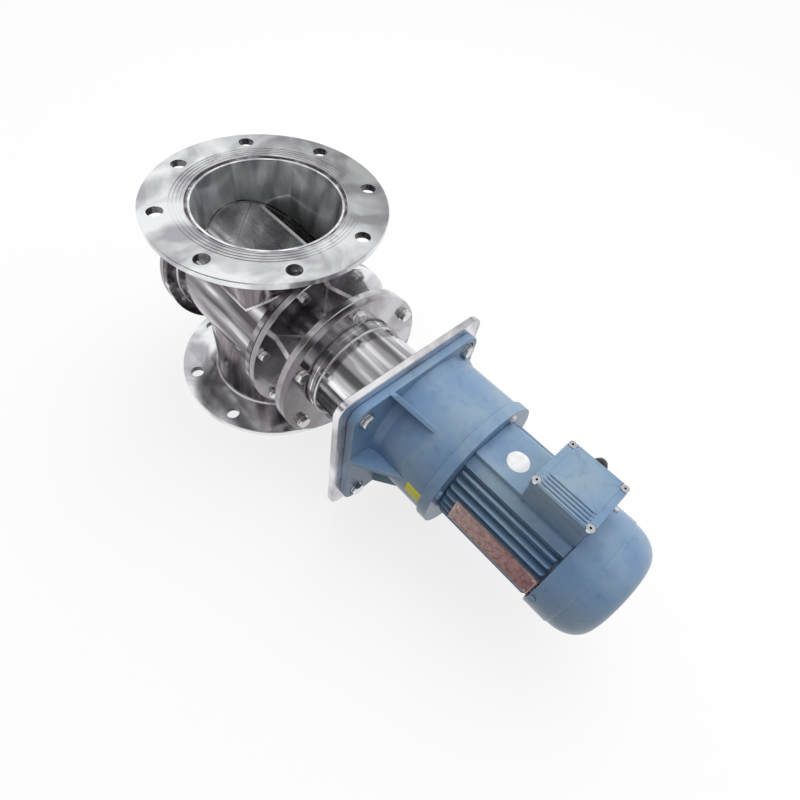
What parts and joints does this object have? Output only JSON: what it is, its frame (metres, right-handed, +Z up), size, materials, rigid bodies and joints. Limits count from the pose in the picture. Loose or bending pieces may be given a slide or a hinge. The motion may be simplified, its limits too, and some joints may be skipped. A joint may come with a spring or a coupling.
{
  "type": "rotary airlock valve",
  "caption": "Flanged rotary airlock valve: a bladed rotor in a pipe-built drum, driven by an offset gear motor through a coupling in a windowed lantern.",
  "frame": {"origin": "centre of the outlet flange's joint face", "axes": "+Z up to the inlet, +X along the rotor axis to the motor, +Y to the side the motor is offset to"},
  "size_m": [0.84, 0.34, 0.35],
  "materials": {
    "stainless": "polished stainless steel",
    "rotor_steel": "turned stainless steel",
    "shaft_steel": "ground steel",
    "bearing_steel": "ground bearing steel",
    "screw_steel": "bright stainless steel",
    "gasket_sheet": "matte sheet",
    "packing_braid": "braided packing",
    "coupling_iron": "machined cast iron",
    "coupling_rubber": "polyurethane",
    "motor_paint": "blue-grey paint on cast aluminium",
    "cowl_paint": "blue-grey paint on pressed steel",
    "core_steel": "stacked sheet steel",
    "black_plastic": "moulded plastic",
    "plate_metal": "bare plate"
  },
  "bodies": {
    "valve_body": {"inlet_flange": "stainless", "outlet_flange": "stainless", "inlet_neck": "stainless", "outlet_neck": "stainless", "inlet_weld": "stainless", "outlet_weld": "stainless", "body_drum": "stainless", "drive_cover": "stainless", "outboard_cover": "stainless", "yoke_ribs": "stainless", "bearing_flange": "stainless", "drive_bearing_cap": "stainless", "outboard_bearing_cap": "stainless", "drive_gland": "stainless", "lantern": "stainless", "motor_plate": "stainless", "drive_bearing_outer": "bearing_steel", "outboard_bearing_outer": "bearing_steel", "output_bearing": "bearing_steel", "motor_bearings": "bearing_steel", "drive_cover_screws": "screw_steel", "outboard_cover_screws": "screw_steel", "gland_screws": "screw_steel", "drive_cap_screws": "screw_steel", "outboard_cap_screws": "screw_steel", "lantern_screws": "screw_steel", "plate_bolts": "screw_steel", "plate_nuts": "screw_steel", "shield_screws": "screw_steel", "cowl_screws": "screw_steel", "lid_screws": "screw_steel", "drive_gasket": "gasket_sheet", "outboard_gasket": "gasket_sheet", "drive_packing": "packing_braid", "outboard_packing": "packing_braid", "gearbox_housing": "motor_paint", "input_shield": "motor_paint", "motor_frame": "motor_paint", "rear_shield": "motor_paint", "terminal_box": "motor_paint", "terminal_lid": "motor_paint", "fan_cowl": "cowl_paint", "stator_core": "core_steel", "cable_plug": "black_plastic", "terminal_block": "black_plastic", "rating_plate": "plate_metal"},
    "rotor": {"rotor_blades": "rotor_steel", "rotor_hub": "rotor_steel", "rotor_key": "shaft_steel", "rotor_shaft": "shaft_steel", "drive_bearing_inner": "bearing_steel", "outboard_bearing_inner": "bearing_steel", "coupling_valve_half": "coupling_iron", "coupling_spider": "coupling_rubber", "coupling_motor_half": "coupling_iron", "coupling_keys": "shaft_steel", "gearbox_shaft": "shaft_steel"},
    "motor_armature": {"motor_rotor": "core_steel", "motor_shaft": "shaft_steel", "cooling_fan": "black_plastic"}
  },
  "joints": [
    {"name": "rotor_spin", "type": "hinge", "parent": "valve_body", "child": "rotor", "pos_m": [0, 0, 0.175], "axis": [1, 0, 0], "continuous": true},
    {"name": "motor_spin", "type": "hinge", "parent": "valve_body", "child": "motor_armature", "pos_m": [0.5, 0.024, 0.175], "axis": [1, 0, 0], "continuous": true}
  ],
  "couplings": [
    {"joint": "motor_spin", "follows": "rotor_spin", "ratio": 30}
  ]
}
